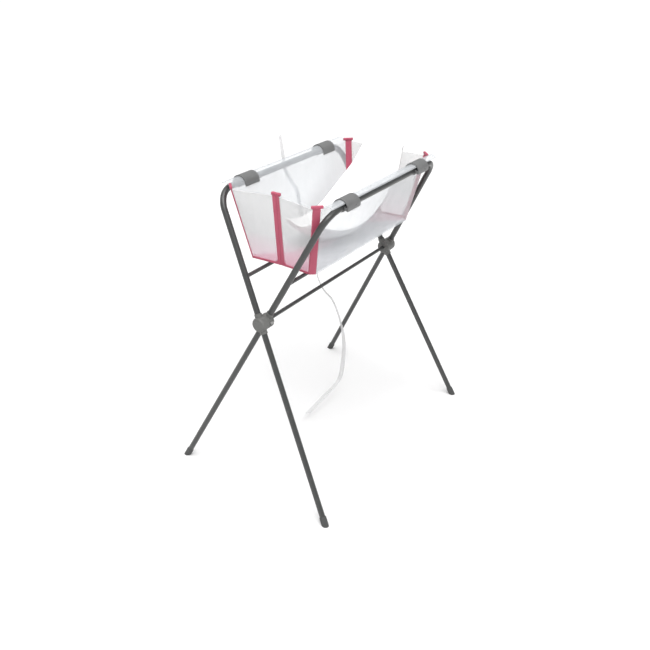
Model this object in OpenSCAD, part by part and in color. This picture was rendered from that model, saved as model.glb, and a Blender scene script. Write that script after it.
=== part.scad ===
// Folding baby bath on a folding stand: two bent tube frames cross at pivot hubs, and a bath with
// hinged walls hangs from their rails. X runs along the rails, +Y is the far side, +Z is up, and the
// origin is on the floor under the middle.

/* [Stand] */
// Height of the rail centres above the floor
rail_z = 940; // [920:5:955]
// Distance of each rail from the middle
rail_y = 184; // [182:1:186]
// Height of the pivots above the floor
pivot_z = 578; // [570:1:586]
// Distance between the two pivots of one frame
pivot_span = 740; // [734:2:750]
// Shift of each frame along the rails, so that the legs pass each other
frame_shift = 12.5; // [12.5:0.5:14]
// Lean of each leg along the rails, in degrees
leg_splay = 6.9; // [6.5:0.1:7.2]
// Diameter of the bent top tubes
top_tube_d = 19; // [18:0.5:19]
// Diameter of the lower legs
leg_tube_d = 18; // [16:0.5:18]
// Wall of the tubes
tube_wall = 1.5; // [1:0.1:2]
// Centre line radius of the bends
bend_r = 65; // [55:1:70]
// Diameter of the bars under the bath
bar_d = 12; // [10:0.5:13]
// Place of the bars, as a share of the way from the pivot to the rail
bar_share = 0.36; // [0.34:0.01:0.37]
// Diameter of the tube between the hubs
pivot_tube_d = 12; // [11:0.5:12]

/* [Hubs] */
// Radius of the hubs
hub_r = 23; // [22:0.5:24]
// Half the width of a hub along its axis
hub_half = 12.2; // [11.8:0.1:12.3]
// Extra length of the outer hubs at their closed end
hub_nose = 4; // [3:0.5:6]
// Reach of the tube sockets from the pivot axis
socket_reach = 32; // [30:1:38]
// Diameter of the pivot bolts
bolt_d = 8; // [7:0.5:8]
// Length of the lock buttons
button_length = 15; // [12:0.5:16]
// Width of the lock buttons
button_width = 8; // [7.5:0.5:9]

/* [Bath] */
// Length between the sharp corners at the rim
rim_length = 658; // [650:2:660]
// Width between the long walls at the rim
rim_width = 320; // [318:1:322]
// Height of the rim above the floor
rim_z = 950; // [948:1:952]
// Height of the underside of the bath
base_z = 729.7; // [728:0.1:732]
// Inward lean of every wall from rim to base
taper = 41; // [38:1:43]
// Cut of each corner, where the soft strips stand
chamfer = 15; // [13:1:16]
// Thickness of the hard panels
panel_t = 2.5; // [2:0.1:3]
// Angle at which the rolled rim of a long wall ends over its rail
roll_end = 48; // [40:1:60]
// Distance of the middle of the bath from the middle of the stand
bath_shift = 5; // [4:0.5:5.5]
// Inward lean of the end folds at the rim
fold_in = 23; // [20:1:26]
// Inward lean of the end folds at the base
fold_in_low = 6; // [3:1:8]
// Width of the soft strips
strip_w = 24; // [20:1:26]

/* [Clips] */
// Length of the rail clips
clip_length = 66; // [60:1:84]
// Distance of the clips from the middle of the stand
clip_x = 210; // [200:1:216]
// Wall of the clips
clip_wall = 3; // [2.5:0.1:3.4]
// Angle below the rail's level at which a clip turns in under the rail
clip_turn = 16; // [8:1:22]

/* [Hidden] */
$fn = 64;

tube_grey = "dimgray";
hub_grey = "gray";
clear_white = "whitesmoke";
pink = "palevioletred";

half_span = pivot_span / 2;
leg_angle = atan(rail_y / (rail_z - pivot_z));
rail_v = norm([rail_y, rail_z - pivot_z]);
foot_reach = pivot_z / cos(leg_angle) / cos(leg_splay);
corner_u = half_span - rail_v * tan(leg_splay);
bend_turn = 90 - leg_splay;
bend_run = bend_r * tan(bend_turn / 2);
top_leg_length = rail_v / cos(leg_splay) - bend_run;
tube_start = 14;
fit_gap = 0.05;
partner_gap = 0.6;
// The straight runs of a bent tube reach a little into its bends, which are a touch fatter
lap = 1;
seam = 0.12;
hub_front = hub_half + hub_nose;

wall_height = rim_z - base_z;
wall_tilt = atan(taper / wall_height);
wall_slant = norm([taper, wall_height]);
corner_lean = atan(taper * sqrt(2) / wall_height);
corner_slant = norm([taper, taper, wall_height]);
rim_x = rim_length / 2;
rim_y = rim_width / 2;
base_x = rim_x - taper;
base_y = rim_y - taper;
rim_fold = rim_y - chamfer;
base_fold = base_y - chamfer;

// Middle of the rim's roll, a little inside the rail, and the radius that lets the wall run into it
roll_y = rail_y - 4;
roll_z = rail_z - 1;
roll_r = (roll_y - rim_y) * cos(wall_tilt) + (rim_z - roll_z) * sin(wall_tilt);
roll_drop = (rim_z - roll_z) * cos(wall_tilt) - (roll_y - rim_y) * sin(wall_tilt);
roll_start = 180 - wall_tilt;
roll_t = panel_t + 0.24;
roll_edge_r = 1.7;

function lerp(a, b, t) = a + (b - a) * t;
function steps(a, b, n) = [for (i = [0 : n]) lerp(a, b, i / n)];
function flat(rows) = [for (row = rows) each row];

// Rows of numbers with a smooth curve through them
function curve_at(p, i, t) = let (
    a = p[max(i - 1, 0)], b = p[i], c = p[i + 1], d = p[min(i + 2, len(p) - 1)]
) 0.5 * (2 * b + (c - a) * t + (2 * a - 5 * b + 4 * c - d) * t * t + (3 * (b - c) + d - a) * t * t * t);
function curve(p, n) = concat([for (i = [0 : len(p) - 2]) for (k = [0 : n - 1]) curve_at(p, i, k / n)],
    [p[len(p) - 1]]);

// A closed sheet between two grids of points with the same rows and columns
module thick_sheet(front, back) {
    rows = len(front);
    cols = len(front[0]);
    size = rows * cols;
    quads = [for (r = [0 : rows - 2]) for (c = [0 : cols - 2])
        [r * cols + c, r * cols + c + 1, (r + 1) * cols + c + 1, (r + 1) * cols + c]];
    skin = [for (q = quads) each [[q[0], q[1], q[2]], [q[0], q[2], q[3]]]];
    under = [for (f = skin) [f[2] + size, f[1] + size, f[0] + size]];
    loop = concat(
        [for (c = [0 : cols - 2]) c],
        [for (r = [0 : rows - 2]) (r + 1) * cols - 1],
        [for (c = [cols - 1 : -1 : 1]) (rows - 1) * cols + c],
        [for (r = [rows - 1 : -1 : 1]) r * cols]
    );
    sides = [for (i = [0 : len(loop) - 1]) let (a = loop[i], b = loop[(i + 1) % len(loop)])
        each [[a, a + size, b + size], [a, b + size, b]]];
    polyhedron(concat(flat(front), flat(back)), concat(skin, under, sides));
}

// Places a part of one frame. The far frame carries the far rail, and the near frame is the same
// frame turned half round, so that its left is on the right.
module on_frame(turned = false) {
    rotate([0, 0, turned ? 180 : 0]) translate([-frame_shift, 0, pivot_z]) rotate([-leg_angle, 0, 0])
        children();
}

// Turns to the line of a leg, up or down from the left pivot or the right one
module on_leg(right = false, down = false) {
    translate([right ? half_span : -half_span, 0, 0])
        rotate([0, (right ? -leg_splay : leg_splay) + (down ? 180 : 0), 0]) children();
}

module top_path(r, spare = 0) {
    for (right = [false, true])
        on_leg(right) translate([0, 0, tube_start - spare])
            cylinder(r = r, h = top_leg_length - tube_start + spare + lap);
    for (side = [0, 1])
        mirror([side, 0, 0]) translate([corner_u - bend_run, 0, rail_v - bend_r])
            rotate([90, 0, 0]) rotate([0, 0, leg_splay])
                rotate_extrude(angle = bend_turn) translate([bend_r, 0]) circle(r = r + seam);
    translate([bend_run - corner_u - lap, 0, rail_v]) rotate([0, 90, 0])
        cylinder(r = r, h = 2 * (corner_u - bend_run + lap));
}

module top_tube() {
    color(tube_grey) difference() {
        top_path(top_tube_d / 2);
        top_path(top_tube_d / 2 - tube_wall, 1);
    }
}

foot_gap = 8;
module lower_leg(right) {
    leg_length = foot_reach - foot_gap - tube_start;
    color(tube_grey) on_leg(right, true) translate([0, 0, tube_start]) difference() {
        cylinder(d = leg_tube_d, h = leg_length);
        translate([0, 0, -1]) cylinder(d = leg_tube_d - 2 * tube_wall, h = leg_length + 2);
    }
}

foot_wall = 2;
foot_length = 26;
module foot(turned, right) {
    sleeve_d = leg_tube_d + 2 * foot_wall;
    color("darkslategray") intersection() {
        on_frame(turned) on_leg(right, true) translate([0, 0, foot_reach]) difference() {
            union() {
                translate([0, 0, -foot_length]) cylinder(d = sleeve_d, h = foot_length + 14);
                translate([0, 0, -foot_length - 3]) cylinder(d1 = leg_tube_d + 1, d2 = sleeve_d, h = 3);
            }
            translate([0, 0, -foot_length - 4])
                cylinder(d = leg_tube_d + 2 * fit_gap, h = foot_length + 4 - foot_gap + 0.2);
        }
        translate([-500, -500, 0]) cube([1000, 1000, 60]);
    }
}

module support_bar() {
    bar_v = bar_share * rail_v;
    bar_u = half_span - bar_v * tan(leg_splay);
    color(tube_grey) difference() {
        translate([-bar_u, 0, bar_v]) rotate([0, 90, 0]) cylinder(d = bar_d, h = 2 * bar_u);
        for (right = [false, true])
            on_leg(right) cylinder(d = top_tube_d + 2 * fit_gap, h = 2 * bar_v);
    }
}

// Stands a shape on the pivot axis of an outer hub, at the left, or of an inner hub, at the right
module on_pivot(outer) {
    translate([outer ? -half_span : half_span, 0, 0]) rotate([0, -90, 0]) children();
}

// Turns a shape to face out of the inner hub, away from the rail and level with the floor
module on_button() {
    translate([half_span, 0, 0]) rotate([leg_angle - 90, 0, 0]) children();
}

module stadium(length, width, height) {
    for (s = [-1, 1])
        translate([s * (length - width) / 2, 0, 0]) cylinder(d = width, h = height);
    translate([-(length - width) / 2, -width / 2, 0]) cube([length - width, width, height]);
}

module hub_body(outer) {
    edge_r = outer ? 6 : 3;
    front = outer ? hub_front : hub_half;
    on_pivot(outer) rotate_extrude() {
        translate([0, -hub_half]) square([hub_r, hub_half + front - edge_r]);
        square([hub_r - edge_r, front]);
        translate([hub_r - edge_r, front - edge_r]) circle(r = edge_r);
    }
    for (down = [false, true])
        on_leg(!outer, down) cylinder(r = hub_half - 0.6, h = socket_reach);
}

module hub_bores(outer) {
    socket_d = [top_tube_d, leg_tube_d];
    for (i = [0, 1])
        on_leg(!outer, i == 1) translate([0, 0, tube_start - 0.4])
            cylinder(d = socket_d[i] + 2 * fit_gap, h = socket_reach);
    on_pivot(outer) translate([0, 0, -hub_half - 40]) cylinder(r = hub_r + 0.8, h = 40);
    on_pivot(outer) translate([0, 0, -hub_half - 1]) cylinder(d = bolt_d + 2 * fit_gap, h = 80);
}

pocket_floor = 13;
module outer_hub() {
    color(hub_grey) difference() {
        hub_body(true);
        hub_bores(true);
        on_pivot(true) translate([0, 0, hub_front - 8]) cylinder(r = 7.5, h = 20);
        on_pivot(true) translate([0, 0, hub_front - 2.5]) cylinder(r = 15.2, h = 20);
    }
}

module inner_hub() {
    color(hub_grey) difference() {
        hub_body(false);
        hub_bores(false);
        on_pivot(false) translate([0, 0, hub_half - 8])
            cylinder(d = pivot_tube_d + 2 * fit_gap, h = 20);
        on_button() translate([0, 0, pocket_floor])
            stadium(button_length + 0.6, button_width + 0.6, 20);
        on_button() translate([0, 0, hub_r - 2])
            stadium(button_length + 6, button_width + 6, 20);
    }
}

module hub_cap() {
    color(hub_grey) on_pivot(true) translate([0, 0, hub_front - 2.45]) rotate_extrude()
        polygon([[0, 0], [15, 0], [15, 2.6], [12, 3.8], [6, 4.5], [0, 4.7]]);
}

module pivot_bolt() {
    reach = 3 * hub_half + partner_gap + 10;
    color("silver") on_pivot(true) difference() {
        union() {
            translate([0, 0, hub_front - 7.6]) cylinder(r = 6.8, h = 4.4);
            translate([0, 0, -reach]) cylinder(d = bolt_d, h = reach + hub_front - 6);
        }
        translate([0, 0, hub_front - 6]) cylinder(d = 6.5, h = 6, $fn = 6);
    }
}

module lock_button() {
    color(hub_grey) on_button() difference() {
        intersection() {
            translate([0, 0, pocket_floor + 2.5]) stadium(button_length, button_width, 20);
            translate([-20, 0, 0]) rotate([0, 90, 0]) cylinder(r = hub_r + 1.5, h = 40);
        }
        cylinder(d = 6, h = hub_r - 2);
    }
}

module lock_spring() {
    sides = 6;
    turns = 4;
    wire_r = 0.4;
    coil_r = 2.3;
    low = pocket_floor + 0.1 + wire_r;
    high = hub_r - 2.1 - wire_r;
    count = turns * 12;
    rings = [for (i = [0 : count]) let (a = 360 * turns * i / count)
        [for (k = [0 : sides - 1]) let (b = 360 * k / sides, r = coil_r + wire_r * cos(b))
            [r * cos(a), r * sin(a), lerp(low, high, i / count) + wire_r * sin(b)]]];
    skin = [for (i = [0 : count - 1]) for (k = [0 : sides - 1])
        let (n = (k + 1) % sides, p = i * sides, q = p + sides)
            each [[p + k, q + n, p + n], [p + k, q + k, q + n]]];
    first = [for (k = [0 : sides - 1]) k];
    last = [for (k = [sides - 1 : -1 : 0]) count * sides + k];
    color("silver") on_button() polyhedron(flat(rings), concat(skin, [first, last]));
}

// Places a part of the bath that is drawn at its far right
module in_bath(near = false, left = false) {
    translate([bath_shift, 0, 0]) mirror([left ? 1 : 0, 0, 0]) mirror([0, near ? 1 : 0, 0]) children();
}

// Draws a shape in Y and Z and stretches it along the rails
module along_rail(length) {
    rotate([90, 0, 90]) linear_extrude(length, center = true) children();
}

// A bent strip between two radii, from one angle to another
module bent_strip(low_r, high_r, from, to) {
    fan = [for (a = steps(from, to, 4)) 3 * high_r * [cos(a), sin(a)]];
    difference() {
        intersection() {
            circle(r = high_r);
            polygon(concat([[0, 0]], fan));
        }
        circle(r = low_r);
    }
}

module long_wall() {
    top = rim_x - chamfer;
    bottom = base_x - chamfer;
    start = lerp(top, bottom, roll_drop / wall_slant);
    edge = [roll_y, roll_z] + (roll_r - 0.6) * [cos(roll_end), sin(roll_end)];
    plate = start - 0.4;
    lap_in = 2;
    color(clear_white) {
        translate([0, roll_y, roll_z]) along_rail(2 * start)
            bent_strip(roll_r - roll_t / 2, roll_r + roll_t / 2, roll_end, roll_start);
        translate([0, edge[0], edge[1]]) along_rail(2 * plate) circle(r = roll_edge_r);
        translate([0, rim_y, rim_z]) rotate([90 - wall_tilt, 0, 0])
            linear_extrude(panel_t, center = true) polygon([
                [-plate, lap_in - roll_drop], [plate, lap_in - roll_drop], [plate, -lap_in - roll_drop],
                [bottom, -wall_slant], [-bottom, -wall_slant], [-plate, -lap_in - roll_drop]
            ]);
    }
}

// A clip: a shell snapped over the rolled rim, with a jaw inside it that grips the rail from below
clip_lip = 9;
module rail_clip() {
    shell_r = roll_r + roll_t / 2 + 0.15;
    jaw_r = top_tube_d / 2 + clip_wall;
    outer_r = shell_r + clip_wall;
    color(hub_grey) difference() {
        along_rail(clip_length) {
            translate([roll_y, roll_z]) bent_strip(shell_r, outer_r, -clip_turn, roll_start);
            translate([roll_y, roll_z]) rotate(roll_start) translate([shell_r + 0.05, -1])
                square([clip_wall - 0.1, clip_lip + 1]);
            translate([rail_y, rail_z]) bent_strip(top_tube_d / 2 - 1, jaw_r, -200, 30);
            translate([roll_y, roll_z]) bent_strip(jaw_r - 4, shell_r + 1, -clip_turn, 10);
        }
        translate([0, rail_y, rail_z]) along_rail(clip_length + 2)
            circle(d = top_tube_d + 2 * fit_gap);
        translate([8, roll_y, roll_z]) rotate([-84, 0, 0])
            translate([0, 0, outer_r - 0.9]) cylinder(d = 6, h = 4);
    }
}

cap_h = 9;
module corner_strip() {
    width = chamfer * sqrt(2) - 2.6;
    color(pink) translate([rim_x - chamfer / 2, rim_y - chamfer / 2, rim_z]) rotate([0, 0, -45])
        rotate([-corner_lean, 0, 0]) translate([-width / 2, -panel_t / 2, -corner_slant])
            cube([width, panel_t, corner_slant + 4]);
    color(pink) difference() {
        translate([rim_x - chamfer / 2, rim_y - chamfer / 2, rim_z + 2]) rotate([0, 0, -45])
            linear_extrude(cap_h) {
                translate([-14, -4]) square([28, 8]);
                for (s = [-1, 1])
                    translate([s * 14, 0]) circle(r = 4);
            }
        translate([0, roll_y, roll_z]) rotate([0, 90, 0])
            cylinder(r = roll_r + roll_t / 2 + 0.1, h = rim_x - chamfer + 0.1);
    }
}

// A point of the far half of the right end: s runs from the corner to the middle fold, t from the
// base to the rim
function end_at(s, t) = lerp(
    lerp([base_x, base_fold, base_z], [rim_x, rim_fold, rim_z], t),
    lerp([base_x - fold_in_low, 0, base_z], [rim_x - fold_in, 0, rim_z + 4], t), s);

// A sheet of the end between the depths low and high, with its columns given at the base and rim
module end_sheet(base_s, rim_s, heights, low, high) {
    inward = [-cos(wall_tilt), 0, sin(wall_tilt)];
    shares = [for (t = heights) [for (i = [0 : len(base_s) - 1]) lerp(base_s[i], rim_s[i], t)]];
    front = [for (r = [0 : len(heights) - 1]) [for (s = shares[r]) end_at(s, heights[r]) + low * inward]];
    back = [for (r = [0 : len(heights) - 1]) [for (s = shares[r]) end_at(s, heights[r]) + high * inward]];
    thick_sheet(front, back);
}

plate_share = 0.6;
plate_edge = 4.8;
sill_share = 0.035;
module end_plate() {
    color(clear_white) {
        end_sheet(steps(plate_edge / base_fold, plate_share, 4),
            steps(plate_edge / rim_fold, plate_share, 4), steps(sill_share + 0.006, 1, 6), 0, panel_t);
        end_sheet(steps(0.12, plate_share, 4), steps(0.12, plate_share, 4), [0.975, 1], -2, panel_t / 2);
    }
}

// The soft part of an end: a web beside the plate, half of the middle strip with its cap, and the
// sill below them
module end_fold() {
    base_strip = 1 - strip_w / 2 / base_fold;
    rim_strip = 1 - strip_w / 2 / rim_fold;
    color(pink) {
        end_sheet([plate_share + 0.004, 0.85, 0.92], [plate_share + 0.004, 0.85, 0.93],
            steps(sill_share - 0.004, 1, 6), 0, panel_t);
        end_sheet([base_strip, 0.997], [rim_strip, 0.997], steps(0, 1, 6), -0.8, panel_t + 0.8);
        end_sheet(steps(0.012, 0.94, 4), steps(0.012, 0.94, 4), [0, sill_share], -0.5, panel_t + 0.5);
        translate([rim_x - fold_in, 0, rim_z + 3]) rotate([0, -wall_tilt, 0])
            translate([-4.5, 0.4, 0]) cube([9, strip_w / 2 + 3, cap_h]);
    }
}

hinge_in = 4.3;
hard_base = 87;
base_inset = 20;
module base_half() {
    hinge_y = base_y - hinge_in;
    x = base_x - base_inset;
    color(clear_white) translate([0, 0, base_z]) linear_extrude(panel_t) polygon([
        [-x, hinge_y - 0.3], [x, hinge_y - 0.3], [x - hard_base, hinge_y - hard_base],
        [hard_base - x, hinge_y - hard_base]
    ]);
}

module base_fold_half() {
    edge_y = base_y - hinge_in - hard_base - 0.3;
    x = base_x - base_inset - hard_base;
    color(pink) translate([0, 0, base_z]) linear_extrude(panel_t)
        polygon([[-x, edge_y], [x, edge_y], [x - edge_y, 0.3], [edge_y - x, 0.3]]);
}

module base_gusset() {
    x = base_x - base_inset + 0.5;
    hinge_y = base_y - hinge_in;
    color(pink) translate([0, 0, base_z]) linear_extrude(panel_t) polygon([
        [base_x - 4, base_fold - 2], [base_x - 14, base_y - 4], [x, hinge_y], [x - hinge_y, 0],
        [x, -hinge_y], [base_x - 14, 4 - base_y], [base_x - 4, 2 - base_fold],
        [base_x - fold_in_low - panel_t - 2, 0]
    ]);
}

// Place along X, edge height, half width and sag of the moulded support, from its hook to its foot
support_rows = [
    [338, 944, 58, 0], [336.5, 960, 62, -3], [328, 970, 66, -4], [314, 971, 71, -4], [300, 960, 76, -2],
    [280, 934, 82, 8], [256, 905, 88, 18], [222, 885, 90, 30], [158, 843, 99, 48], [83, 808, 100, 62],
    [20, 795, 98, 58], [-50, 796, 92, 48], [-110, 810, 85, 40], [-155, 828, 76, 32], [-174, 836, 58, 22],
    [-182, 839, 34, 12]
];
module newborn_support() {
    rows = curve(support_rows, 2);
    cols = steps(-1, 1, 12);
    top = [for (p = rows) [for (c = cols) [p[0], c * p[2], p[1] - p[3] * (1 - pow(abs(c), 2.2))]]];
    color("white") thick_sheet([for (row = top) [for (p = row) p - [0, 0, 3]]], top);
}

strap_w = 17;
strap_t = 2;
// Middle of the strap and the turn of its width, from its upper end to its lower end
strap_route = [
    [2, 209, 1030, 12], [7, 206.5, 992, 8], [11, 204.5, 962, 3], [13, 202.5, 938, 0],
    [13, 192, 906, 0], [12, 164, 873, 0], [12, 147.1, 854, 0], [12, 144.2, 838, 0],
    [13, 135.5, 790, 2], [16, 126, 740, 5], [20, 119, 712, 12], [28, 106, 670, 20],
    [35, 95, 625, 27], [43, 83, 549, 33], [72, 77, 490, 33],
    [130, 75, 425, 30], [160, 60, 335, 20], [165, 45, 256, -5], [145, 32, 186, -30],
    [116, 30, 113, -45], [41, 42, 79, -52], [-50, 58, 42, -57]
];
module closing_strap() {
    rows = curve(strap_route, 3);
    along = [for (p = rows) strap_w / 2 * [cos(p[3]), sin(p[3]), 0]];
    across = [for (p = rows) strap_t / 2 * [-sin(p[3]), cos(p[3]), 0]];
    middle = [for (p = rows) [p[0], p[1], p[2]]];
    last = len(rows) - 1;
    inner = [for (i = [0 : last]) middle[i] - across[i]];
    outer = [for (i = [0 : last]) middle[i] + across[i]];
    color("white") difference() {
        thick_sheet([for (i = [0 : last]) [inner[i] - along[i], inner[i] + along[i]]],
            [for (i = [0 : last]) [outer[i] - along[i], outer[i] + along[i]]]);
        on_stud() cylinder(r = 4.2, h = 12);
    }
}

stud_z = 840;
// Stands a shape on the outer face of the far wall, where the strap is buttoned on
module on_stud() {
    stud_y = rim_y - (rim_z - stud_z) * tan(wall_tilt) + (panel_t / 2 + 0.03) / cos(wall_tilt);
    translate([12, stud_y, stud_z]) rotate([-90 - wall_tilt, 0, 0]) children();
}

module strap_stud() {
    color("white") on_stud() {
        cylinder(r = 4, h = 6);
        translate([0, 0, 5.2]) cylinder(r = 7, h = 2);
    }
}

module far_top_tube() on_frame() top_tube();
module near_left_leg() on_frame() lower_leg(false);
module near_right_leg() on_frame() lower_leg(true);
module near_left_foot() foot(false, false);
module near_right_foot() foot(false, true);
module far_support_bar() on_frame() support_bar();
module left_outer_hub() on_frame() outer_hub();
module right_inner_hub() on_frame() inner_hub();
module left_pivot_bolt() on_frame() pivot_bolt();
module right_pivot_bolt() on_frame(true) pivot_bolt();
module left_hub_cap() on_frame() hub_cap();
module near_top_tube() on_frame(true) top_tube();
module far_left_leg() on_frame(true) lower_leg(true);
module far_right_leg() on_frame(true) lower_leg(false);
module far_left_foot() foot(true, true);
module far_right_foot() foot(true, false);
module near_support_bar() on_frame(true) support_bar();
module left_inner_hub() on_frame(true) inner_hub();
module right_outer_hub() on_frame(true) outer_hub();
module right_hub_cap() on_frame(true) hub_cap();
module left_lock_button() on_frame(true) lock_button();
module right_lock_button() on_frame() lock_button();
module left_lock_spring() on_frame(true) lock_spring();
module right_lock_spring() on_frame() lock_spring();

module pivot_tube() {
    reach = half_span - frame_shift - hub_half + 7.6;
    color(tube_grey) translate([-reach, 0, pivot_z]) rotate([0, 90, 0]) difference() {
        cylinder(d = pivot_tube_d, h = 2 * reach);
        translate([0, 0, -1]) cylinder(d = bolt_d + 0.18, h = 2 * reach + 2);
    }
}

module near_wall() in_bath(true) long_wall();
module near_left_clip() mirror([0, 1, 0]) translate([-clip_x, 0, 0]) rail_clip();
module near_right_clip() mirror([0, 1, 0]) translate([clip_x, 0, 0]) rail_clip();
module near_left_corner() in_bath(true, true) corner_strip();
module near_right_corner() in_bath(true) corner_strip();
module far_wall() in_bath() long_wall();
module far_left_clip() translate([-clip_x, 0, 0]) rail_clip();
module far_right_clip() translate([clip_x, 0, 0]) rail_clip();
module far_left_corner() in_bath(false, true) corner_strip();
module far_right_corner() in_bath() corner_strip();
module near_left_end() in_bath(true, true) end_plate();
module near_left_fold() in_bath(true, true) end_fold();
module far_left_end() in_bath(false, true) end_plate();
module far_left_fold() in_bath(false, true) end_fold();
module near_right_end() in_bath(true) end_plate();
module near_right_fold() in_bath(true) end_fold();
module far_right_end() in_bath() end_plate();
module far_right_fold() in_bath() end_fold();
module near_base() in_bath(true) base_half();
module near_base_fold() in_bath(true) base_fold_half();
module far_base() in_bath() base_half();
module far_base_fold() in_bath() base_fold_half();
module left_base_gusset() in_bath(false, true) base_gusset();
module right_base_gusset() in_bath() base_gusset();

far_top_tube();
near_left_leg();
near_right_leg();
near_left_foot();
near_right_foot();
far_support_bar();
left_outer_hub();
right_inner_hub();
pivot_tube();
left_pivot_bolt();
right_pivot_bolt();
left_hub_cap();
near_top_tube();
far_left_leg();
far_right_leg();
far_left_foot();
far_right_foot();
near_support_bar();
left_inner_hub();
right_outer_hub();
right_hub_cap();
left_lock_button();
right_lock_button();
left_lock_spring();
right_lock_spring();
near_wall();
near_left_clip();
near_right_clip();
near_left_corner();
near_right_corner();
far_wall();
far_left_clip();
far_right_clip();
far_left_corner();
far_right_corner();
strap_stud();
closing_strap();
near_left_end();
near_left_fold();
far_left_end();
far_left_fold();
near_right_end();
near_right_fold();
far_right_end();
far_right_fold();
near_base();
near_base_fold();
far_base();
far_base_fold();
left_base_gusset();
right_base_gusset();
newborn_support();
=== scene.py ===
import math

import bpy
from mathutils import Matrix, Vector


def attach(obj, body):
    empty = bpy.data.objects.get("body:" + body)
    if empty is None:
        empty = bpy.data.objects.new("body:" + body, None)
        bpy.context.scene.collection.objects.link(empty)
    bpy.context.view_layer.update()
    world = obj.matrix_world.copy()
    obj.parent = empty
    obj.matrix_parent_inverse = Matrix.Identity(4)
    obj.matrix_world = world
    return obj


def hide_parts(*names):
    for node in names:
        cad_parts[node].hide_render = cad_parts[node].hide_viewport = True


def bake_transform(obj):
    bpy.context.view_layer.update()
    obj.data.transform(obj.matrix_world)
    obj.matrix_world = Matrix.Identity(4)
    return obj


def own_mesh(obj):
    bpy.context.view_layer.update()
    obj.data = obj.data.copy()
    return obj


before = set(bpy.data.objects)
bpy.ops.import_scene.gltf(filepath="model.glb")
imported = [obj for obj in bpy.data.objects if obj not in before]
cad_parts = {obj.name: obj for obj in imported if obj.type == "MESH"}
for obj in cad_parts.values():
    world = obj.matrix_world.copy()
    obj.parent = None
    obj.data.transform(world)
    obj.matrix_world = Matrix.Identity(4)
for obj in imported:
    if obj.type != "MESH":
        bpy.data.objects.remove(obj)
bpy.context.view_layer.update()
print("frame loaded")


# what all new pieces share: how near corners merge, how their edges are rounded, and where they look sharp
craft = {
    "merge": 0.00002, "sheetSegments": 2, "blockSegments": 4, "roundedFrom": 50, "sharpFrom": 35,
}


def deselectAll():
    for other in list(bpy.context.selected_objects):
        other.select_set(False)


def makeActive(piece):
    deselectAll()
    piece.select_set(True)
    bpy.context.view_layer.objects.active = piece


def applyModifier(piece, kind, **settings):
    makeActive(piece)
    modifier = piece.modifiers.new(kind.title(), kind)
    for key, value in settings.items():
        setattr(modifier, key, value)
    bpy.ops.object.modifier_apply(modifier=modifier.name)


def applyPlace(piece):
    makeActive(piece)
    bpy.ops.object.transform_apply(location=True, rotation=True, scale=True)


# merges what lies together and turns all faces outwards
def turnOutwards(piece):
    makeActive(piece)
    bpy.ops.object.mode_set(mode="EDIT")
    bpy.ops.mesh.select_all(action="SELECT")
    bpy.ops.mesh.remove_doubles(threshold=craft["merge"])
    bpy.ops.mesh.normals_make_consistent(inside=False)
    bpy.ops.object.mode_set(mode="OBJECT")


def smoothOver(piece):
    makeActive(piece)
    bpy.ops.object.shade_smooth_by_angle(angle=math.radians(craft["sharpFrom"]))


def joinPieces(name, parts):
    makeActive(parts[0])
    for part in parts[1:]:
        part.select_set(True)
    bpy.ops.object.join()
    parts[0].name = name
    return parts[0]


def mix(a, b, t):
    return a + (b - a) * t


def between(a, b, t):
    return Vector(a).lerp(Vector(b), t)


# the point at share t of a smooth curve through the points
def curveThrough(points, t):
    last = len(points) - 1
    i = min(int(t * last), last - 1)
    f = t * last - i
    a, b, c, d = (Vector(points[min(max(k, 0), last)]) for k in (i - 1, i, i + 1, i + 2))
    bend = 2 * a - 5 * b + 4 * c - d
    swing = 3 * (b - c) + d - a
    return 0.5 * (2 * b + (c - a) * f + bend * f ** 2 + swing * f ** 3)


# a grid fitted to a surface, then given half its thickness on each side and a rounded rim
def sheetOf(name, columns, rows, place, thickness, rounding=0.0006):
    deselectAll()
    bpy.ops.mesh.primitive_grid_add(x_subdivisions=columns, y_subdivisions=rows, size=2)
    sheet = bpy.context.object
    sheet.name = name
    for corner in sheet.data.vertices:
        corner.co = place((corner.co.x + 1) / 2, (corner.co.y + 1) / 2)
    turnOutwards(sheet)
    applyModifier(sheet, "SOLIDIFY", thickness=thickness, offset=0, use_even_offset=True)
    applyModifier(sheet, "BEVEL", width=rounding, segments=craft["sheetSegments"], limit_method="ANGLE",
                  angle_limit=math.radians(craft["roundedFrom"]))
    turnOutwards(sheet)
    smoothOver(sheet)
    return sheet


# a block with rounded edges, drawn about the origin and then put in its place
def roundedBlock(name, size, place, turn, rounding):
    deselectAll()
    bpy.ops.mesh.primitive_cube_add(size=1, scale=size)
    block = bpy.context.object
    block.name = name
    applyPlace(block)
    applyModifier(block, "BEVEL", width=rounding, segments=craft["blockSegments"], limit_method="NONE")
    block.data.transform(Matrix.Translation(place) @ turn)
    smoothOver(block)
    return block


# the camera stands where the photograph was taken from
view = {
    "place": (-1.9909, -1.2762, 1.6838),
    "yaw": 33.1,  # degrees from the rails towards the far side
    "down": 28.4,
    "roll": 1.1,
    "lens": 43.2,
    "sensor": 36,
    "reach": 80,
}


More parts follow.
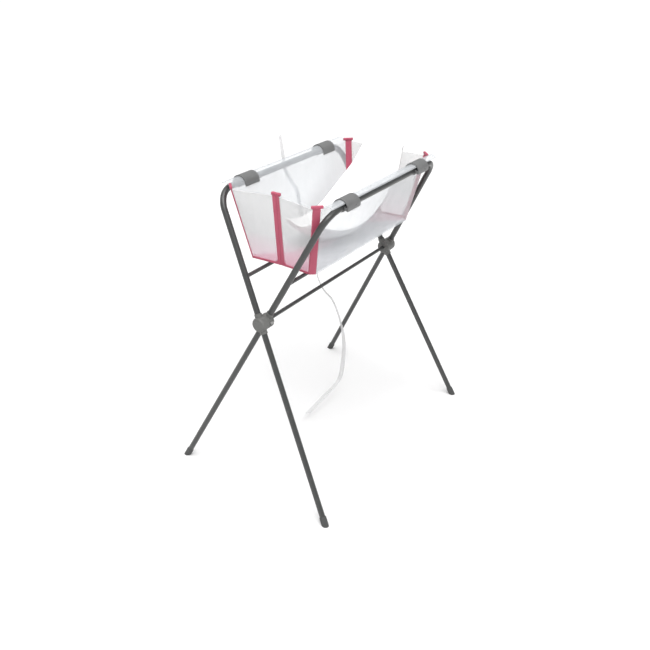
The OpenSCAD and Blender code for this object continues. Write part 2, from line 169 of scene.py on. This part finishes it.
def setCamera():
    yaw, down, roll = (math.radians(view[key]) for key in ("yaw", "down", "roll"))
    level = Vector((math.cos(yaw), math.sin(yaw), 0))
    ahead = level * math.cos(down) - Vector((0, 0, math.sin(down)))
    side = Vector((math.sin(yaw), -math.cos(yaw), 0))
    above = side.cross(ahead)
    right = side * math.cos(roll) + above * math.sin(roll)
    up = above * math.cos(roll) - side * math.sin(roll)
    turn = Matrix((right, up, -ahead)).transposed()
    bpy.ops.object.camera_add()
    camera = bpy.context.object
    camera.name = "camera"
    camera.matrix_world = Matrix.Translation(view["place"]) @ turn.to_4x4()
    camera.data.lens = view["lens"]
    camera.data.sensor_width = view["sensor"]
    camera.data.clip_end = view["reach"]
    bpy.context.scene.camera = camera


setCamera()
print("camera set")


# a socket of a shader node that can stand in a sum, with a number on either side of it
class Wire:
    def __init__(self, recipe, socket):
        self.recipe = recipe
        self.socket = socket

    def maths(self, operation, a, b):
        return self.recipe.node("ShaderNodeMath", {"operation": operation}, {0: a, 1: b})

    def __add__(self, other):
        return self.maths("ADD", self, other)

    def __radd__(self, other):
        return self.maths("ADD", other, self)

    def __sub__(self, other):
        return self.maths("SUBTRACT", self, other)

    def __rsub__(self, other):
        return self.maths("SUBTRACT", other, self)

    def __mul__(self, other):
        return self.maths("MULTIPLY", self, other)

    def __rmul__(self, other):
        return self.maths("MULTIPLY", other, self)


# the detail and roughness of each kind of noise
noises = {"drift": (3.0, 0.5), "grain": (2.0, 0.6), "wear": (4.0, 0.65), "flow": (3.0, 0.55)}


# one material and the way its nodes are added
class Recipe:
    def __init__(self, name):
        self.material = bpy.data.materials.new(name)
        self.material.use_nodes = True
        self.tree = self.material.node_tree
        self.shader = self.tree.nodes["Principled BSDF"]

    def node(self, kind, settings, inputs, output=0):
        made = self.tree.nodes.new(kind)
        for key, value in settings.items():
            if key == "stops":
                ramp = made.color_ramp
                while len(ramp.elements) < len(value):
                    ramp.elements.new(0.5)
                for element, (at, level) in zip(ramp.elements, value):
                    element.position = at
                    element.color = (level, level, level, 1)
            else:
                setattr(made, key, value)
        for key, value in inputs.items():
            if isinstance(value, Wire):
                self.tree.links.new(value.socket, made.inputs[key])
            else:
                made.inputs[key].default_value = value
        return Wire(self, made.outputs[output])

    def feed(self, name, wire):
        self.tree.links.new(wire.socket, self.shader.inputs[name])

    def fixed(self, name, value):
        self.shader.inputs[name].default_value = value

    # the piece's own space, in metres
    def place(self):
        return self.node("ShaderNodeTexCoord", {}, {}, "Object")

    # noise in the piece's own space, drawn out where a stretch is given
    def noise(self, kind, scale, stretch=(1, 1, 1)):
        detail, rough = noises[kind]
        drawn = self.node("ShaderNodeMapping", {}, {"Vector": self.place(), "Scale": stretch})
        return self.node("ShaderNodeTexNoise", {},
                         {"Vector": drawn, "Scale": scale, "Detail": detail, "Roughness": rough})

    # one at the first height, fading to none at the second
    def fade(self, heights):
        height = self.node("ShaderNodeSeparateXYZ", {}, {"Vector": self.place()}, "Z")
        return self.node("ShaderNodeMapRange", {}, {
            "Value": height, "From Min": heights[0], "From Max": heights[1], "To Min": 1, "To Max": 0,
        })

    def ramp(self, share, *stops):
        return self.node("ShaderNodeValToRGB", {"stops": stops}, {"Fac": share})

    def blend(self, share, a, b):
        return self.node("ShaderNodeMix", {"data_type": "RGBA"}, {0: share, 6: a, 7: b}, 2)

    def bump(self, height, strength, distance):
        relief = {"Height": height, "Strength": strength, "Distance": distance}
        return self.node("ShaderNodeBump", {}, relief, "Normal")


def opaque(red, green, blue):
    return (red, green, blue, 1)


# what the finishes share
surface = {
    "rubStart": 0.58, "rubFull": 0.74,  # where in its noise a rub starts and is full
    # the two shares after flowInColour set the painted light: a steady part and a part that follows the
    # drift
    "flowInColour": 0.4, "paintedLightBase": 0.6, "paintedLightDrift": 0.6,  # shares in the colour
    "rubDulls": 0.2, "grainDulls": 0.2, "flowDulls": 0.12, "coatRough": 0.25,  # what they add in roughness
    "driftInRelief": 0.3, "grainInRelief": 0.4,
    "grainDepth": 0.0004, "flowDepth": 0.0005,  # of the relief, in metres
    "mouldedIor": 1.48, "frostedIor": 1.49,
}


# plastic, rubber or paint: colour that drifts, a fine grain, and rubs, which are drawn out along one way
# where a stretch is given
def mouldedFinish(name, look):
    recipe = Recipe(name)
    drift = recipe.noise("drift", look["driftScale"])
    grain = recipe.noise("grain", look["grainScale"])
    wear = recipe.noise("wear", look["rubScale"], look.get("rubStretch", (1, 1, 1)))
    rubs = recipe.ramp(wear, (surface["rubStart"], 0), (surface["rubFull"], 1)) * look["rubShare"]
    colour = recipe.blend(drift, look["dark"], look["light"])
    recipe.feed("Base Color", recipe.blend(rubs, colour, look["rubbed"]))
    gloss = look["rough"] + (grain - 0.5) * look["roughSpread"] + rubs * surface["rubDulls"]
    recipe.feed("Roughness", gloss)
    relief = grain + drift * surface["driftInRelief"]
    recipe.feed("Normal", recipe.bump(relief, look["grain"], surface["grainDepth"]))
    recipe.fixed("Metallic", look.get("metal", 0.0))
    recipe.fixed("IOR", look.get("ior", surface["mouldedIor"]))
    if "coat" in look:
        recipe.fixed("Coat Weight", look["coat"])
        recipe.fixed("Coat Roughness", surface["coatRough"])
    return recipe.material


# frosted sheet that lets through what stands behind it, with the flow marks of its mould; a painted light
# is a second colour that stands in for light, full beyond the first of its two heights and gone at the
# second
def frostedFinish(name, look):
    recipe = Recipe(name)
    drift = recipe.noise("drift", look["driftScale"])
    grain = recipe.noise("grain", look["grainScale"])
    flow = recipe.noise("flow", look["flowScale"], look["flowStretch"])
    marks = drift * (1 - surface["flowInColour"]) + flow * surface["flowInColour"]
    colour = recipe.blend(marks, look["dark"], look["light"])
    # painted light, not the sheet's own colour: by height the colour turns towards a second colour that
    # stands in for light
    if "paintedLight" in look:
        share = recipe.fade(look["paintedLightHeights"]) * (surface["paintedLightBase"] + drift * surface["paintedLightDrift"])
        colour = recipe.blend(share, colour, look["paintedLight"])
    recipe.feed("Base Color", colour)
    gloss = look["rough"] + (grain - 0.5) * surface["grainDulls"] + (flow - 0.5) * surface["flowDulls"]
    recipe.feed("Roughness", gloss)
    recipe.feed("Alpha", look["alpha"] + (drift + flow - 1) * look["alphaDrift"])
    relief = grain * surface["grainInRelief"] + flow
    recipe.feed("Normal", recipe.bump(relief, look["grain"], surface["flowDepth"]))
    recipe.fixed("IOR", surface["frostedIor"])
    return recipe.material


moulded = {
    "framePaint": dict(
        dark=opaque(0.031, 0.032, 0.032), light=opaque(0.046, 0.047, 0.046), driftScale=11,
        grainScale=1100, rough=0.40, roughSpread=0.22, grain=0.28,
        rubScale=60, rubShare=0.22, rubbed=opaque(0.13, 0.13, 0.128), ior=1.5, coat=0.35,
    ),
    "hubPlastic": dict(
        dark=opaque(0.105, 0.106, 0.102), light=opaque(0.145, 0.146, 0.140), driftScale=34,
        grainScale=1500, rough=0.50, roughSpread=0.2, grain=0.4,
        rubScale=90, rubShare=0.25, rubbed=opaque(0.24, 0.24, 0.23),
    ),
    "buttonPlastic": dict(
        dark=opaque(0.25, 0.25, 0.245), light=opaque(0.31, 0.31, 0.30), driftScale=45,
        grainScale=1500, rough=0.42, roughSpread=0.2, grain=0.3,
        rubScale=160, rubShare=0.25, rubbed=opaque(0.38, 0.38, 0.37),
    ),
    "footRubber": dict(
        dark=opaque(0.048, 0.049, 0.049), light=opaque(0.072, 0.073, 0.072), driftScale=70,
        grainScale=1200, rough=0.62, roughSpread=0.2, grain=0.5,
        rubScale=130, rubShare=0.4, rubbed=opaque(0.14, 0.14, 0.135),
    ),
    "zincSteel": dict(
        dark=opaque(0.50, 0.50, 0.51), light=opaque(0.62, 0.62, 0.63), driftScale=90,
        grainScale=800, rough=0.30, roughSpread=0.2, grain=0.2,
        rubScale=200, rubShare=0.3, rubbed=opaque(0.72, 0.72, 0.72), metal=1.0,
    ),
    "clipPlastic": dict(
        dark=opaque(0.125, 0.127, 0.128), light=opaque(0.165, 0.167, 0.166), driftScale=30,
        grainScale=1300, rough=0.36, roughSpread=0.2, grain=0.25,
        rubScale=70, rubStretch=(0.25, 1, 1), rubShare=0.2, rubbed=opaque(0.26, 0.26, 0.26),
    ),
    "softPink": dict(
        dark=opaque(0.40, 0.062, 0.112), light=opaque(0.47, 0.082, 0.140), driftScale=26,
        grainScale=1000, rough=0.46, roughSpread=0.2, grain=0.35,
        rubScale=80, rubShare=0.15, rubbed=opaque(0.60, 0.20, 0.27),
    ),
    "supportWhite": dict(
        dark=opaque(0.86, 0.86, 0.865), light=opaque(0.92, 0.92, 0.92), driftScale=8,
        grainScale=800, rough=0.42, roughSpread=0.15, grain=0.3,
        rubScale=40, rubShare=0.15, rubbed=opaque(0.88, 0.88, 0.88),
    ),
}
frosted = {
    "bathPlastic": dict(
        dark=opaque(0.60, 0.63, 0.67), light=opaque(0.74, 0.755, 0.765), driftScale=6,
        grainScale=700, flowScale=14, flowStretch=(1, 1, 0.25), rough=0.36, grain=0.25,
        alpha=0.36, alphaDrift=0.06,
    ),
    "endPlastic": dict(
        dark=opaque(0.63, 0.635, 0.64), light=opaque(0.76, 0.755, 0.745), driftScale=7,
        grainScale=700, flowScale=16, flowStretch=(1, 1, 0.25), rough=0.36, grain=0.25,
        # painted pink light: the lowest part of each end turns pink, standing in for the pink soft parts
        # shining through the sheet
        alpha=0.37, alphaDrift=0.07, paintedLight=opaque(0.84, 0.48, 0.60), paintedLightHeights=(0.735, 0.825),
    ),
    "basePlastic": dict(
        dark=opaque(0.66, 0.67, 0.70), light=opaque(0.77, 0.78, 0.81), driftScale=9,
        grainScale=700, flowScale=14, flowStretch=(0.3, 1, 1), rough=0.40, grain=0.25,
        alpha=0.88, alphaDrift=0.06,
    ),
    "softWeb": dict(
        dark=opaque(0.66, 0.36, 0.45), light=opaque(0.78, 0.54, 0.62), driftScale=18,
        grainScale=900, flowScale=24, flowStretch=(1, 0.4, 1), rough=0.46, grain=0.3,
        alpha=0.80, alphaDrift=0.10,
    ),
    "strapClear": dict(
        dark=opaque(0.60, 0.60, 0.605), light=opaque(0.74, 0.74, 0.745), driftScale=22,
        grainScale=900, flowScale=40, flowStretch=(1, 1, 0.3), rough=0.34, grain=0.3,
        # painted light: the strap turns paler from 0.70 m up, fully at 0.80 m, where it runs in shade
        # behind the far wall
        alpha=0.61, alphaDrift=0.08, paintedLight=opaque(0.90, 0.90, 0.905), paintedLightHeights=(0.80, 0.70),
    ),
}
finish = {name: mouldedFinish(name, look) for name, look in moulded.items()}
finish.update({name: frostedFinish(name, look) for name, look in frosted.items()})
print("finishes made")


def dress(piece, name):
    piece.data.materials.clear()
    piece.data.materials.append(finish[name])


# the solids that are shown as they are, by their finish
carried = {
    "framePaint": [
        "far_top_tube", "near_left_leg", "near_right_leg", "far_support_bar", "pivot_tube",
        "near_top_tube", "far_left_leg", "far_right_leg", "near_support_bar",
    ],
    "hubPlastic": [
        "left_outer_hub", "right_inner_hub", "left_hub_cap", "left_inner_hub", "right_outer_hub",
        "right_hub_cap",
    ],
    "buttonPlastic": ["left_lock_button", "right_lock_button"],
    "footRubber": ["near_left_foot", "near_right_foot", "far_left_foot", "far_right_foot"],
    "zincSteel": ["left_pivot_bolt", "right_pivot_bolt", "left_lock_spring", "right_lock_spring"],
    "clipPlastic": ["near_left_clip", "near_right_clip", "far_left_clip", "far_right_clip"],
    "bathPlastic": ["near_wall", "far_wall"],
    "strapClear": ["strap_stud"],
}
for finishName, nodeNames in carried.items():
    for nodeName in nodeNames:
        dress(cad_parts[nodeName], finishName)
print("solids dressed")


# the bath's driving sizes, in metres, about its own middle
bath = {
    "shift": 0.005,
    "rimX": 0.329, "rimY": 0.160, "rimZ": 0.950,
    "taper": 0.041, "baseZ": 0.7297,
    "chamfer": 0.015, "panel": 0.0025,
    "foldIn": 0.023, "foldInLow": 0.006, "foldRise": 0.004, "stripWidth": 0.024,
    "hingeIn": 0.0043,
    "roomAtWall": 0.0036,  # from the plates' edge to the corner, so that they clear the rolled rim
}
baseX = bath["rimX"] - bath["taper"]
baseY = bath["rimY"] - bath["taper"]
rimFold = bath["rimY"] - bath["chamfer"]
baseFold = baseY - bath["chamfer"]
tilt = math.atan(bath["taper"] / (bath["rimZ"] - bath["baseZ"]))


# a point drawn at the far right, put at the side and end it is for
def intoBath(point, side, end):
    return Vector((point[0] * end + bath["shift"], point[1] * side, point[2]))


# a point of an end: s from the corner to the middle fold, t from the base to the rim
def endAt(s, t, depth=0.0):
    corner = between((baseX, baseFold, bath["baseZ"]), (bath["rimX"], rimFold, bath["rimZ"]), t)
    fold = between((baseX - bath["foldInLow"], 0, bath["baseZ"]),
                   (bath["rimX"] - bath["foldIn"], 0, bath["rimZ"] + bath["foldRise"]), t)
    return corner.lerp(fold, s) - depth * Vector((math.cos(tilt), 0, -math.sin(tilt)))


endPanel = {
    "sill": 0.036, "top": 0.002, "lap": 0.01, "thickness": 0.0020,
    "lipRadius": 0.0011, "lipTurn": 150, "columns": 16, "rows": 18, "lipRows": 8,
}


# the frosted half of an end, from above its sill to just under the rim, where it is rolled outwards; it
# laps under the middle strip
def makeEndPanel(name, side, end):
    rows = endPanel["rows"] + endPanel["lipRows"]
    strip = bath["stripWidth"] / 2

    def place(u, w):
        row = w * rows
        t = mix(endPanel["sill"], 1, min(row / endPanel["rows"], 1))
        width = mix(baseFold, rimFold, t)
        s = mix(bath["roomAtWall"] / width, 1 - strip / width + endPanel["lap"], u)
        out = up = 0.0
        if row > endPanel["rows"]:
            turn = math.radians(endPanel["lipTurn"]) * (row - endPanel["rows"]) / endPanel["lipRows"]
            out = endPanel["lipRadius"] * (1 - math.cos(turn))
            up = endPanel["lipRadius"] * math.sin(turn)
        point = endAt(s, t, bath["panel"] / 2 - out) + Vector((0, 0, up - endPanel["top"]))
        return intoBath(point, side, end)

    return sheetOf(name, endPanel["columns"], rows, place, endPanel["thickness"])


foldStrip = {
    "foot": 0.004, "flare": 1.6, "flareShare": 0.08, "gap": 0.0003, "thickness": 0.0041, "grid": (4, 30),
    "sillFoot": 0.003, "sillTop": 0.038, "sillEnd": 0.93, "sillThickness": 0.0033, "sillGrid": (14, 2),
    "rounding": 0.0008,
    "cap": (0.009, 0.0150, 0.0085), "capRise": 0.0045, "capRounding": 0.0016,
}


# half of the soft strip in the middle of an end, with its flared foot, its cap and the sill below
def makeFoldStrip(name, side, end):
    strip = bath["stripWidth"] / 2

    def place(u, w):
        flare = 1 + foldStrip["flare"] * max(0, 1 - w / foldStrip["flareShare"]) ** 2
        width = mix(baseFold, rimFold, w)
        s = 1 - mix(min(strip * flare, width), foldStrip["gap"], u) / width
        return intoBath(endAt(s, mix(foldStrip["foot"], 1, w), bath["panel"] / 2), side, end)

    def placeSill(u, w):
        s = mix(bath["roomAtWall"] / baseFold, foldStrip["sillEnd"], u)
        t = mix(foldStrip["sillFoot"], foldStrip["sillTop"], w)
        return intoBath(endAt(s, t, bath["panel"] / 2), side, end)

    rounding = foldStrip["rounding"]
    stripSheet = sheetOf("strip", *foldStrip["grid"], place, foldStrip["thickness"], rounding)
    sill = sheetOf("sill", *foldStrip["sillGrid"], placeSill, foldStrip["sillThickness"], rounding)
    beside = Vector((0, side * (foldStrip["cap"][1] / 2 + foldStrip["gap"]), foldStrip["capRise"]))
    top = intoBath(endAt(1, 1, bath["panel"] / 2), side, end) + beside
    lean = Matrix.Rotation(end * tilt, 4, "Y")
    cap = roundedBlock("cap", foldStrip["cap"], top, lean, foldStrip["capRounding"])
    return joinPieces(name, [stripSheet, sill, cap])


cornerStrip = {
    "cap": (0.035, 0.0078, 0.0088), "capRise": 0.0022, "capRounding": 0.0024,
    "flange": 0.0032, "bendAt": 0.2,  # the flange lies along the end, up to the bend across the corner
    "inwards": 0.0012, "reach": 0.96, "top": 1.015, "thickness": 0.0027, "rounding": 0.0008,
    "grid": (10, 20),
}


# the soft strip of a corner, with the cap that stands across its top
def makeCornerStrip(name, side, end):
    half = bath["chamfer"] / 2

    def acrossCorner(x, y, z, u):
        bend = cornerStrip["bendAt"]
        if u < bend:
            return Vector((x - cornerStrip["inwards"], y - cornerStrip["flange"] * (1 - u / bend), z))
        share = cornerStrip["reach"] * (u - bend) / (1 - bend)
        start = (x - cornerStrip["inwards"], y, z)
        return between(start, (x - bath["chamfer"], y + bath["chamfer"], z), share)

    def place(u, w):
        low = acrossCorner(baseX, baseFold, bath["baseZ"], u)
        high = acrossCorner(bath["rimX"], rimFold, bath["rimZ"], u)
        return intoBath(low.lerp(high, w * cornerStrip["top"]), side, end)

    strip = sheetOf("strip", *cornerStrip["grid"], place, cornerStrip["thickness"],
                    cornerStrip["rounding"])
    capMiddle = bath["rimZ"] + cornerStrip["capRise"] + cornerStrip["cap"][2] / 2
    top = intoBath((bath["rimX"] - half, bath["rimY"] - half, capMiddle), side, end)
    turn = Matrix.Rotation(-math.radians(45) * side * end, 4, "Z")
    cap = roundedBlock("cap", cornerStrip["cap"], top, turn, cornerStrip["capRounding"])
    return joinPieces(name, [strip, cap])


base = {
    "inset": 0.020, "hard": 0.087, "thickness": 0.0022, "gapAtHinge": 0.0015, "gap": 0.0004,
    "columns": 24, "rows": 10, "softRows": 6,
}
hingeY = baseY - bath["hingeIn"]
halfLength = baseX - base["inset"]


# half of the base, from y to y of its own width, cut slantwise at its ends for the gussets
def makeBaseSheet(name, side, outer, inner, rows):
    def place(u, w):
        y = mix(outer, inner, w)
        x = halfLength - (hingeY - y)
        return intoBath((mix(-x, x, u), y, bath["baseZ"] + bath["panel"] / 2), side, 1)

    return sheetOf(name, base["columns"], rows, place, base["thickness"])


gusset = {
    "edge": 0.0043, "room": 0.002, "lap": 0.0006, "least": 0.0002, "slant": 1.35, "thickness": 0.0020,
    "pleat": 0.0008, "pleats": 3, "columns": 36, "rows": 12,
}


# the soft triangle at an end of the base, with the pleats that it folds along
def makeBaseGusset(name, end):
    middleX = baseX - bath["foldInLow"] - bath["panel"] - gusset["room"]
    cornerX = baseX - gusset["edge"]
    cornerY = baseFold - gusset["room"]

    def place(u, w):
        y = mix(-hingeY, hingeY, u)
        inner = halfLength - (hingeY - abs(y)) + gusset["lap"]
        outer = mix(middleX, cornerX, min(abs(y) / cornerY, 1))
        if abs(y) > cornerY:
            outer = cornerX - (abs(y) - cornerY) * gusset["slant"]
        x = mix(inner, max(outer, inner + gusset["least"]), w)
        pleat = gusset["pleat"] * math.sin(w * math.pi) * math.cos(w * math.tau * gusset["pleats"])
        return intoBath((x, y, bath["baseZ"] + bath["panel"] / 2 + pleat), 1, end)

    return sheetOf(name, gusset["columns"], gusset["rows"], place, gusset["thickness"])


for side, sideName in ((-1, "near"), (1, "far")):
    for end, endName in ((-1, "left"), (1, "right")):
        panel = makeEndPanel(f"{sideName}_{endName}_end_panel", side, end)
        dress(panel, "endPlastic")
        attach(panel, f"{sideName}_{endName}_end_panel")
        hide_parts(f"{sideName}_{endName}_end")
        strip = makeFoldStrip(f"{sideName}_{endName}_fold_strip", side, end)
        dress(strip, "softPink")
        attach(strip, f"{sideName}_{endName}_end_panel")
        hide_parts(f"{sideName}_{endName}_fold")
        corner = makeCornerStrip(f"{sideName}_{endName}_corner_strip", side, end)
        dress(corner, "softPink")
        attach(corner, f"{sideName}_wall_panel")
        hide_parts(f"{sideName}_{endName}_corner")
    seam = hingeY - base["hard"]
    hard = makeBaseSheet(f"{sideName}_base_panel", side, hingeY - base["gapAtHinge"], seam, base["rows"])
    dress(hard, "basePlastic")
    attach(hard, f"{sideName}_base_panel")
    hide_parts(f"{sideName}_base")
    soft = makeBaseSheet(f"{sideName}_base_fold_sheet", side, seam - base["gap"], base["gap"],
                         base["softRows"])
    dress(soft, "softWeb")
    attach(soft, f"{sideName}_base_panel")
    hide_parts(f"{sideName}_base_fold")
print("bath panels made")

# the soft triangles that lie between the walls at the ends of the base, carried with the far wall panel
for end, endName in ((-1, "left"), (1, "right")):
    web = makeBaseGusset(f"{endName}_base_gusset_sheet", end)
    dress(web, "softWeb")
    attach(web, "far_wall_panel")
    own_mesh(web)
    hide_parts(f"{endName}_base_gusset")
print("base gussets made")

# the newborn support: place along the bath, edge height, half width and sag of each row, in metres
support = {
    "rows": [
        (0.338, 0.944, 0.058, 0.000), (0.3365, 0.960, 0.062, -0.003), (0.328, 0.970, 0.066, -0.004),
        (0.314, 0.971, 0.071, -0.004), (0.300, 0.960, 0.076, -0.002), (0.280, 0.934, 0.082, 0.008),
        (0.256, 0.905, 0.088, 0.018), (0.222, 0.885, 0.090, 0.030), (0.158, 0.843, 0.099, 0.048),
        (0.083, 0.808, 0.100, 0.062), (0.020, 0.795, 0.098, 0.058), (-0.050, 0.796, 0.092, 0.048),
        (-0.110, 0.810, 0.085, 0.040), (-0.155, 0.828, 0.076, 0.032), (-0.174, 0.836, 0.058, 0.022),
        (-0.182, 0.839, 0.034, 0.012),
    ],
    "thickness": 0.003, "sagShape": 2.2, "columns": 28, "rowCount": 90, "rounding": 0.0012,
}


def makeSupport():
    def place(u, w):
        x, edge, half, sag = curveThrough(support["rows"], w)
        across = 2 * u - 1
        drop = sag * (1 - abs(across) ** support["sagShape"])
        return Vector((x, across * half, edge - drop - support["thickness"] / 2))

    return sheetOf("newborn_support_trough", support["columns"], support["rowCount"], place,
                   support["thickness"], support["rounding"])


trough = makeSupport()
dress(trough, "supportWhite")
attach(trough, "far_wall_panel")
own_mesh(trough)
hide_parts("newborn_support")
print("support made")

# the closing strap: its middle line, and the turn of its width in degrees, from the upper end down
strap = {
    "route": [
        (0.002, 0.209, 1.030, 12), (0.007, 0.2065, 0.992, 8), (0.011, 0.2045, 0.962, 3),
        (0.013, 0.2025, 0.938, 0), (0.013, 0.192, 0.906, 0), (0.012, 0.164, 0.873, 0),
        (0.012, 0.1471, 0.854, 0), (0.012, 0.1442, 0.838, 0), (0.013, 0.1355, 0.790, 2),
        (0.016, 0.126, 0.740, 5), (0.020, 0.119, 0.712, 12), (0.028, 0.106, 0.670, 20),
        (0.035, 0.095, 0.625, 27), (0.043, 0.083, 0.549, 33), (0.072, 0.077, 0.490, 33),
        (0.130, 0.075, 0.425, 30), (0.160, 0.060, 0.335, 20), (0.165, 0.045, 0.256, -5),
        (0.145, 0.032, 0.186, -30), (0.116, 0.030, 0.113, -45), (0.041, 0.042, 0.079, -52),
        (-0.050, 0.058, 0.042, -57),
    ],
    "width": 0.017, "thickness": 0.002, "rounding": 0.0006, "columns": 6, "rows": 160,
}


def makeStrap():
    def place(u, w):
        x, y, z, turn = curveThrough(strap["route"], w)
        across = (u - 0.5) * strap["width"]
        angle = math.radians(turn)
        return Vector((x + across * math.cos(angle), y + across * math.sin(angle), z))

    return sheetOf("closing_strap_band", strap["columns"], strap["rows"], place, strap["thickness"],
                   strap["rounding"])


band = makeStrap()
dress(band, "strapClear")
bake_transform(band)
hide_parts("closing_strap")
print("strap made")

stage = {
    "floor": 60, "floorDrop": 0.0002, "floorColour": 0.80, "floorRough": 0.9,
    "skyLow": 0.25, "skyHigh": 0.90, "skySeen": 0.95,
    "lampsAim": (0, 0, 0.6),
    "lamps": {  # place, size and power
        "key": ((-1.9, -1.7, 3.4), 1.6, 34),
        "back": ((0.9, 2.6, 2.8), 2.0, 10),
    },
    "sun": {"place": (0, 0, 4), "strength": 2.3, "spread": 55, "lean": (-0.30, -0.20, 1.0)},
}


def makeStage():
    deselectAll()
    bpy.ops.mesh.primitive_plane_add(size=stage["floor"], location=(0, 0, -stage["floorDrop"]))
    ground = bpy.context.object
    ground.name = "ground"
    applyPlace(ground)
    recipe = Recipe("paleFloor")
    recipe.fixed("Base Color", opaque(*[stage["floorColour"]] * 3))
    recipe.fixed("Roughness", stage["floorRough"])
    ground.data.materials.append(recipe.material)

    world = bpy.data.worlds.new("studio")
    world.use_nodes = True
    # brighter overhead, and pale where it shows behind the floor
    sky = world.node_tree.nodes
    direction = sky.new("ShaderNodeTexCoord")
    height = sky.new("ShaderNodeSeparateXYZ")
    level = sky.new("ShaderNodeMapRange")
    level.inputs["To Min"].default_value = stage["skyLow"]
    level.inputs["To Max"].default_value = stage["skyHigh"]
    seen = sky.new("ShaderNodeLightPath")
    strength = sky.new("ShaderNodeMix")
    strength.inputs["B"].default_value = stage["skySeen"]
    for source, target in (
        (direction.outputs["Generated"], height.inputs["Vector"]),
        (height.outputs["Z"], level.inputs["Value"]),
        (level.outputs["Result"], strength.inputs["A"]),
        (seen.outputs["Is Camera Ray"], strength.inputs["Factor"]),
        (strength.outputs["Result"], sky["Background"].inputs["Strength"]),
    ):
        world.node_tree.links.new(source, target)
    sky["Background"].inputs["Color"].default_value = opaque(1, 1, 1)
    bpy.context.scene.world = world
    bpy.context.scene.view_settings.view_transform = "Standard"  # the photograph's floor is plain white

    for name, (place, size, power) in stage["lamps"].items():
        bpy.ops.object.light_add(type="AREA", location=place)
        lamp = bpy.context.object
        lamp.name = name
        lamp.data.size = size
        lamp.data.energy = power
        aim = Vector(stage["lampsAim"]) - Vector(place)
        lamp.rotation_euler = aim.to_track_quat("-Z", "Y").to_euler()
    bpy.ops.object.light_add(type="SUN", location=stage["sun"]["place"])
    sun = bpy.context.object
    sun.name = "sun"
    sun.data.energy = stage["sun"]["strength"]
    sun.data.angle = math.radians(stage["sun"]["spread"])
    sun.rotation_euler = Vector(stage["sun"]["lean"]).to_track_quat("Z", "Y").to_euler()


makeStage()
print("stage made")
